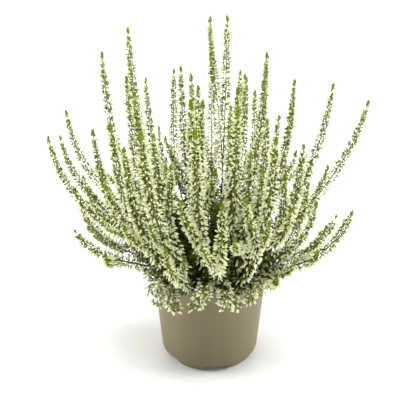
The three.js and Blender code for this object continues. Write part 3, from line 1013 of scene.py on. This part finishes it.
def grow(name, habit, root, tips, rng):
    """The green parts and the buds of one shoot."""
    kind = HABITS[habit]
    main = Route(main_control(habit, root, tips[0]))
    reach = np.hypot(*tips[0][:2])
    forks = [Route(fork_control(main, tip)) for tip in tips[1:]]
    routes = [main, *forks, *side_spikes(main, habit, reach, rng)]
    greens, whites = [peg(main.points[0], root), stem(main, **MAIN_STEM)], []
    bare = kind["bare"] * (np.interp(reach, *BARE_BY_REACH) if habit == "rising" else 1.0)
    fullness = kind["fullness"] * np.interp(reach, *FULLNESS_BY_REACH)
    for number, route in enumerate(routes):
        start = FORK_BARE if number else bare
        if number:
            greens.append(stem(route, **FORK_STEM))
        size = FAT_TUFTS.get(name, kind["tuft"]) * rng.uniform(*TUFT_RANGE)
        neck = TUFT_LENGTH * size + kind["neck"] * rng.uniform(*NECK_RANGE)
        buds, stalks = spike(route, start, neck, fullness, kind, rng)
        whites.append(buds)
        greens.extend(stalks)
        greens.append(tuft(route, size, rng))
        leafy_upto = route.length - TUFT_LENGTH * size * TUFT_BARE
        greens.append(scale_leaves(route, start, leafy_upto, rng, **SPIKE_LEAVES))
        totals["buds"] += len(buds[0]) // BUD_POINTS
    budless = main.walked[openness(main.points, kind["shaded"]) < BUDLESS_OPENNESS].max()
    inner = scale_leaves(main, LOWEST_INNER_LEAF, max(bare, budless), rng, **INNER_LEAVES)
    return [*greens, inner, *leafy_twigs(main, kind, rng)], whites


for index, (name, habit, tips) in enumerate(shoots):
    rng = np.random.default_rng(SEED * 1000 + index)
    greens, whites = grow(name, habit, roots[index], tips, rng)
    for ending, parts, recipe, slot in (
        ("leaves", greens, leaf, "heather_leaf"), ("buds", whites, bud, "heather_bud"),
    ):
        piece = make_piece(f"{name}_{ending}", parts, recipe.material, [name])
        totals["triangles"] += len(piece.data.polygons)
print("grown:", totals)

# %% [markdown]
# The compost hardly shows between the stems, but from above it does. It is a dome of dark crumbs:
# the same surface as in the CAD model, with finer lumps from sums of random waves.

# %% Compost
SOIL_COLUMNS = 144
SOIL_RINGS = 46
GAP = 0.3
FLOOR_UNDERSIDE = 8.4
FLOOR_TOP = FLOOR_UNDERSIDE + WALL
SOIL_WALL_DROP = 2
SOIL_FOOT_ROUND = 3
SOIL_SHOULDER = 1.2
INNERMOST_RING = 0.8
CRUMB_WAVES = 40
CRUMB_WAVE_NUMBERS = (0.5, 2.2)
CRUMB_HEIGHT = 0.13
SOIL_MAP_WIDTH = 130 * MM

peat = Recipe("peat_compost", Specular_IOR_Level=0.2)
crumb = peat.noise(900, 6)
clod = peat.noise(160, 3)
dark = peat.ramp(crumb, [(0.3, (0.006, 0.004, 0.0025)), (0.7, (0.045, 0.028, 0.016))])
peat.finish(
    Base_Color=peat.mix(clod, dark, (0.022, 0.014, 0.008)),
    Roughness=0.88 + crumb * 0.12,
    Normal=peat.bump(crumb, 1.2 * MM),
)


def soil_part(rng):
    """The compost's closed surface: up the wall from the floor, then inwards ring by ring over the
    dome. Its crumbs are a sum of waves with random bearings, lengths and phases."""
    bottom = FLOOR_TOP + GAP
    foot = bottom + SOIL_FOOT_ROUND
    wall_top = SOIL_LEVEL - SOIL_EDGE_DROP - SOIL_WALL_DROP
    edge = inner_radius(wall_top) - GAP
    radii = np.concatenate([
        [inner_radius(bottom) - GAP - SOIL_FOOT_ROUND, inner_radius(foot) - GAP, edge],
        np.linspace(edge - SOIL_SHOULDER, INNERMOST_RING, SOIL_RINGS),
    ])
    angle = 2 * np.pi * np.arange(SOIL_COLUMNS) / SOIL_COLUMNS
    x = radii[:, None] * np.cos(angle)
    y = radii[:, None] * np.sin(angle)
    bearing = rng.uniform(0, 2 * np.pi, CRUMB_WAVES)
    wave = rng.uniform(*CRUMB_WAVE_NUMBERS, CRUMB_WAVES)
    phase = rng.uniform(0, 2 * np.pi, CRUMB_WAVES)
    crumbs = np.cos(
        (x[..., None] * np.cos(bearing) + y[..., None] * np.sin(bearing)) * wave + phase
    ).sum(axis=-1) * CRUMB_HEIGHT
    z = soil_height(x, y) + crumbs
    z[0], z[1], z[2] = bottom, foot, wall_top
    rings = np.stack([x, y, z], axis=-1)[None] * MM
    first = np.array([[0, 0, bottom]]) * MM
    last = np.array([[0, 0, soil_height(0.0, 0.0)]]) * MM
    points, faces = shell(rings, first, last)
    return points, faces, points[:, :2] / SOIL_MAP_WIDTH + 0.5


crumbly = soil_part(np.random.default_rng(SEED))
soil = make_piece("compost", [crumbly], peat.material, ["soil"])
print("compost:", len(soil.data.polygons), "triangles")

# %% [markdown]
# The pot tapers to a rounded lower edge, and six notches in its foot ring let water run off. They
# could be cut like the drain holes, but two formulas keep the grid of the wall even: the outer
# radius at each height, and the height of the lower edge at each angle.

# %% Outline of the pot
POT_COLUMNS = 180
FOOT_RADIUS = 46.4
EDGE_ROUNDNESS = 0.9
NOTCHES = 6
NOTCH_TOP_WIDTH = 17
NOTCH_GROUND_WIDTH = 25
NOTCH_HEIGHT = 7.6
FIRST_NOTCH_DEG = -83
CORNER_CLEARANCE = 0.012


def outer_radius(height):
    """Outer radius of the pot: a rounded lower edge, then the straight taper."""
    share = np.clip(height / CHAMFER_HEIGHT, 0, 1)
    bulge = np.sin(share * np.pi / 2) ** EDGE_ROUNDNESS
    above = np.clip((height - CHAMFER_HEIGHT) / (POT_HEIGHT - CHAMFER_HEIGHT), 0, 1)
    rounded = FOOT_RADIUS + (WALL_FOOT_RADIUS - FOOT_RADIUS) * bulge
    return rounded + (RIM_RADIUS - WALL_FOOT_RADIUS) * above


def notch_edge(angle):
    """Height of the pot's lower edge at each angle: zero on a foot, the notch's height in a notch,
    and a straight slope between the notch's top and ground widths."""
    pitch = 2 * np.pi / NOTCHES
    turn = (angle - np.radians(FIRST_NOTCH_DEG) + pitch / 2) % pitch - pitch / 2
    away = np.abs(turn) * FOOT_RADIUS
    slope = (NOTCH_GROUND_WIDTH / 2 - away) / (NOTCH_GROUND_WIDTH / 2 - NOTCH_TOP_WIDTH / 2)
    return NOTCH_HEIGHT * np.clip(slope, 0, 1)


def pot_angles():
    """Even angles all round, and one at each corner of each notch so that it stays crisp."""
    corner = np.array([NOTCH_TOP_WIDTH, NOTCH_GROUND_WIDTH]) / 2 / FOOT_RADIUS
    corner = np.concatenate([corner, -corner])
    notch = np.radians(FIRST_NOTCH_DEG) + np.arange(NOTCHES) * 2 * np.pi / NOTCHES
    extra = (notch[:, None] + corner[None]).ravel()
    even = np.arange(POT_COLUMNS) * 2 * np.pi / POT_COLUMNS
    apart = np.abs((even[:, None] - extra[None] + np.pi) % (2 * np.pi) - np.pi).min(axis=1)
    return np.sort(np.concatenate([even[apart >= CORNER_CLEARANCE], extra]) % (2 * np.pi))


print("notches:", NOTCHES, "of", NOTCH_HEIGHT, "mm")

# %% [markdown]
# The pot is a thin wall turned about its axis: one profile, from the middle of the underside round
# the foot, up the outside, over the rim and down the inside. The notches come from the same grid:
# inside a notch no point of the profile is lower than the notch's edge.

# %% Pot surface
FOOT_RING_WIDTH = 3
RING_ROUND = 0.2
LIP_ROUND = 0.8
FLOOR_RINGS = (12, 24, 40)
FILLET = 2
FILLET_MIDDLE = 0.6
EDGE_STEPS = 11
WALL_STEPS = 16
WALL_STEPS_FROM = 5
INSIDE_STEPS = 8
INSIDE_BELOW_RIM = 2


def pot_part():
    """The pot's closed surface: its profile turned about the axis, and lifted in the notches."""
    ring_inside = FOOT_RADIUS - FOOT_RING_WIDTH
    underside = [(radius, FLOOR_UNDERSIDE) for radius in (*FLOOR_RINGS, ring_inside - RING_ROUND)]
    ring = [(ring_inside, FLOOR_UNDERSIDE - RING_ROUND), (ring_inside, 0)]
    rise = np.concatenate([
        np.linspace(0, CHAMFER_HEIGHT, EDGE_STEPS),
        np.linspace(CHAMFER_HEIGHT + WALL_STEPS_FROM, POT_HEIGHT - LIP_ROUND, WALL_STEPS),
    ])
    lip = np.radians(np.arange(30, 181, 30))
    lip_radius = outer_radius(POT_HEIGHT) - WALL / 2 + WALL / 2 * np.cos(lip)
    lip_height = POT_HEIGHT - LIP_ROUND + LIP_ROUND * np.sin(lip)
    inside = np.linspace(POT_HEIGHT - INSIDE_BELOW_RIM, FLOOR_TOP + FILLET, INSIDE_STEPS)
    edge = inner_radius(FLOOR_TOP)
    floor = [(radius, FLOOR_TOP) for radius in (edge - FILLET, *reversed(FLOOR_RINGS))]
    profile = np.concatenate([
        underside,
        ring,
        np.stack([outer_radius(rise), rise], axis=1),
        np.stack([lip_radius, lip_height], axis=1),
        np.stack([inner_radius(inside), inside], axis=1),
        [(edge - FILLET_MIDDLE, FLOOR_TOP + FILLET_MIDDLE)],
        floor,
    ])
    angle = pot_angles()
    radius = np.repeat(profile[:, :1], len(angle), axis=1)
    height = np.repeat(profile[:, 1:], len(angle), axis=1)
    lifted = notch_edge(angle)[None]
    lowest = len(underside) + len(ring)
    outside = np.zeros((len(profile), 1), dtype=bool)
    outside[lowest:lowest + len(rise)] = True
    lifted_radius = outer_radius(np.broadcast_to(lifted, radius.shape))
    radius = np.where((height < lifted) & outside, lifted_radius, radius)
    height = np.maximum(height, lifted)
    rings = np.stack([radius * np.cos(angle), radius * np.sin(angle), height], axis=-1)[None] * MM
    first, last = (np.array([[0, 0, middle]]) * MM for middle in (FLOOR_UNDERSIDE, FLOOR_TOP))
    return shell(rings, first, last)


pot_points, pot_faces = pot_part()
print("pot surface:", len(pot_faces), "triangles")

# %% [markdown]
# The plastic is matt and taupe, pressed in one piece. Close up it has a very fine grain from its
# mould, faint streaks up the wall where the plastic flowed, and pale specks.

# %% Pot finish
STREAK_STRETCH = 0.12
SPECKS_FROM = 0.66
SPECK_SHARE = 0.35

taupe = Recipe("taupe_plastic", Specular_IOR_Level=0.4)
body = taupe.node("ShaderNodeTexCoord", output=3)
stretched = taupe.node("ShaderNodeMapping", None, {"Vector": body, "Scale": (1, 1, STREAK_STRETCH)})
flow = taupe.noise(70, 3, stretched)
grain = taupe.noise(2600, 2, body)
cloud = taupe.noise(24, 4, body)
tint = taupe.ramp(flow * 0.6 + cloud * 0.4, [
    (0.3, (0.176, 0.144, 0.075)), (0.7, (0.203, 0.169, 0.09)),
])
taupe.finish(
    Base_Color=taupe.mix((grain > SPECKS_FROM) * SPECK_SHARE, tint, (0.27, 0.235, 0.14)),
    Roughness=0.5 + cloud * 0.14,
    Normal=taupe.bump(grain, 0.2 * MM, 0.5),
)
print("made", taupe.material.name)

# %% [markdown]
# The drain holes go through the floor. A Boolean modifier cuts them with six posts, and its result
# is kept as the pot's mesh, so nothing live is left on the piece.

# %% Pot with its drain holes
DRAIN_HOLE_RADIUS = 4.5
DRAIN_RING_RADIUS = 33
POST_SIDES = 32
POST_OVERSHOOT = 2
SHARP_FROM_DEG = 35


def posts():
    """Six upright posts where the drain holes are, as one body for the cut."""
    turn = np.radians(FIRST_NOTCH_DEG) + (np.arange(NOTCHES) + 0.5) * 2 * np.pi / NOTCHES
    centre = np.stack([np.cos(turn), np.sin(turn)], axis=1) * DRAIN_RING_RADIUS
    angle = 2 * np.pi * np.arange(POST_SIDES) / POST_SIDES
    ring = np.stack([np.cos(angle), np.sin(angle)], axis=1) * DRAIN_HOLE_RADIUS
    flat = centre[:, None] + ring[None]
    ends = (FLOOR_UNDERSIDE - POST_OVERSHOOT, FLOOR_TOP + POST_OVERSHOOT)
    low, high = (np.insert(flat, 2, height, axis=-1) for height in ends)
    first, last = (np.insert(centre, 2, height, axis=-1) for height in ends)
    return shell(np.stack([low, high], axis=1) * MM, first * MM, last * MM)


def plain_mesh(name, points, faces):
    """A bare mesh object: a blank and its cutter, and later the studio's sheet."""
    mesh = bpy.data.meshes.new(name)
    mesh.from_pydata(points.tolist(), [], faces.tolist())
    plain = bpy.data.objects.new(name, mesh)
    bpy.context.collection.objects.link(plain)
    return plain


blank = plain_mesh("pot_blank", pot_points, pot_faces)
cutter = plain_mesh("pot_cutter", *posts())
cut = blank.modifiers.new("drain_holes", "BOOLEAN")
cut.object = cutter
cut.solver = "EXACT"
finished = blank.evaluated_get(bpy.context.evaluated_depsgraph_get())
cut_mesh = bpy.data.meshes.new_from_object(finished)
cut_mesh.name = "nursery_pot"
pot = bpy.data.objects.new("nursery_pot", cut_mesh)
bpy.context.collection.objects.link(pot)
for spare in (blank, cutter):
    bpy.data.objects.remove(spare)
cut_mesh.materials.clear()
cut_mesh.materials.append(taupe.material)
cut_mesh.shade_smooth()
cut_mesh.set_sharp_from_angle(angle=math.radians(SHARP_FROM_DEG))
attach(pot, "root")
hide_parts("pot")
print("pot:", len(cut_mesh.polygons), "faces")

# %% [markdown]
# The studio is plain: a white floor that runs back and curves up into a white wall, and large soft
# lamps on both sides and above. The sheet also glows with painted light of its own, faint near the
# pot and strong further off, so it stays white away from the pot, while near the pot the floor still
# takes a faint grey shadow.

# %% Floor and light
SHEET_SIDE = 6.0
SHEET_BEND_FROM = 2.0
LAMP_SIZE = 0.9
LAMP_AIM = (0, 0, 0.15)
AIR_LIGHT = 0.09

white = Recipe("studio_white", Base_Color=(0.9, 0.9, 0.9, 1), Roughness=0.9, Emission_Strength=1.0)
place = white.node("ShaderNodeTexCoord", output=3)
away = white.node("ShaderNodeVectorMath", {"operation": "LENGTH"}, {0: place}, output=1)
# Painted light: the sheet glows, faintly near the pot and more strongly further away.
white.finish(Emission_Color=white.ramp(away, [(0.09, (0.06, 0.06, 0.06)), (0.9, (0.8, 0.8, 0.8))]))


def backdrop():
    """A sheet swept along X: level floor, a quarter circle of 1 m radius, then an upright wall."""
    bend = np.linspace(0, np.pi / 2, 24)
    curved = SHEET_BEND_FROM + np.sin(bend)
    y = np.concatenate([[-SHEET_SIDE, SHEET_BEND_FROM], curved, curved[-1:]])
    z = np.concatenate([[0, 0], 1 - np.cos(bend), [SHEET_SIDE]])
    x = np.array([-SHEET_SIDE, SHEET_SIDE])
    points = np.stack([np.repeat(x, len(y)), np.tile(y, 2), np.tile(z, 2)], axis=1)
    here = np.arange(len(y) - 1)
    faces = np.stack([here, here + len(y), here + len(y) + 1, here + 1], axis=1)
    return points, faces


sheet = plain_mesh("studio_floor", *backdrop())
sheet.data.materials.append(white.material)
sheet.data.shade_smooth()


def lamp(name, place, watts):
    """A square soft lamp at a place, turned to the plant."""
    data = bpy.data.lights.new(name, "AREA")
    data.size = LAMP_SIZE
    data.energy = watts
    holder = bpy.data.objects.new(name, data)
    holder.location = place
    aim = np.asarray(LAMP_AIM) - np.asarray(place)
    flat = math.hypot(aim[0], aim[1])
    holder.rotation_euler = (math.atan2(flat, -aim[2]), 0, math.atan2(-aim[0], aim[1]))
    bpy.context.collection.objects.link(holder)


lamp("lamp_left", (-1.5, 0.1, 0.6), 22)
lamp("lamp_right", (1.5, 0.1, 0.6), 23.5)
lamp("lamp_top", (0.1, -0.4, 1.7), 27)
world = bpy.data.worlds.new("studio_air")
bpy.context.scene.world = world
world.use_nodes = True
air = world.node_tree.nodes["Background"]
air.inputs["Color"].default_value = (1, 1, 1, 1)
air.inputs["Strength"].default_value = AIR_LIGHT
bpy.context.scene.view_settings.view_transform = "Standard"
print("studio ready")
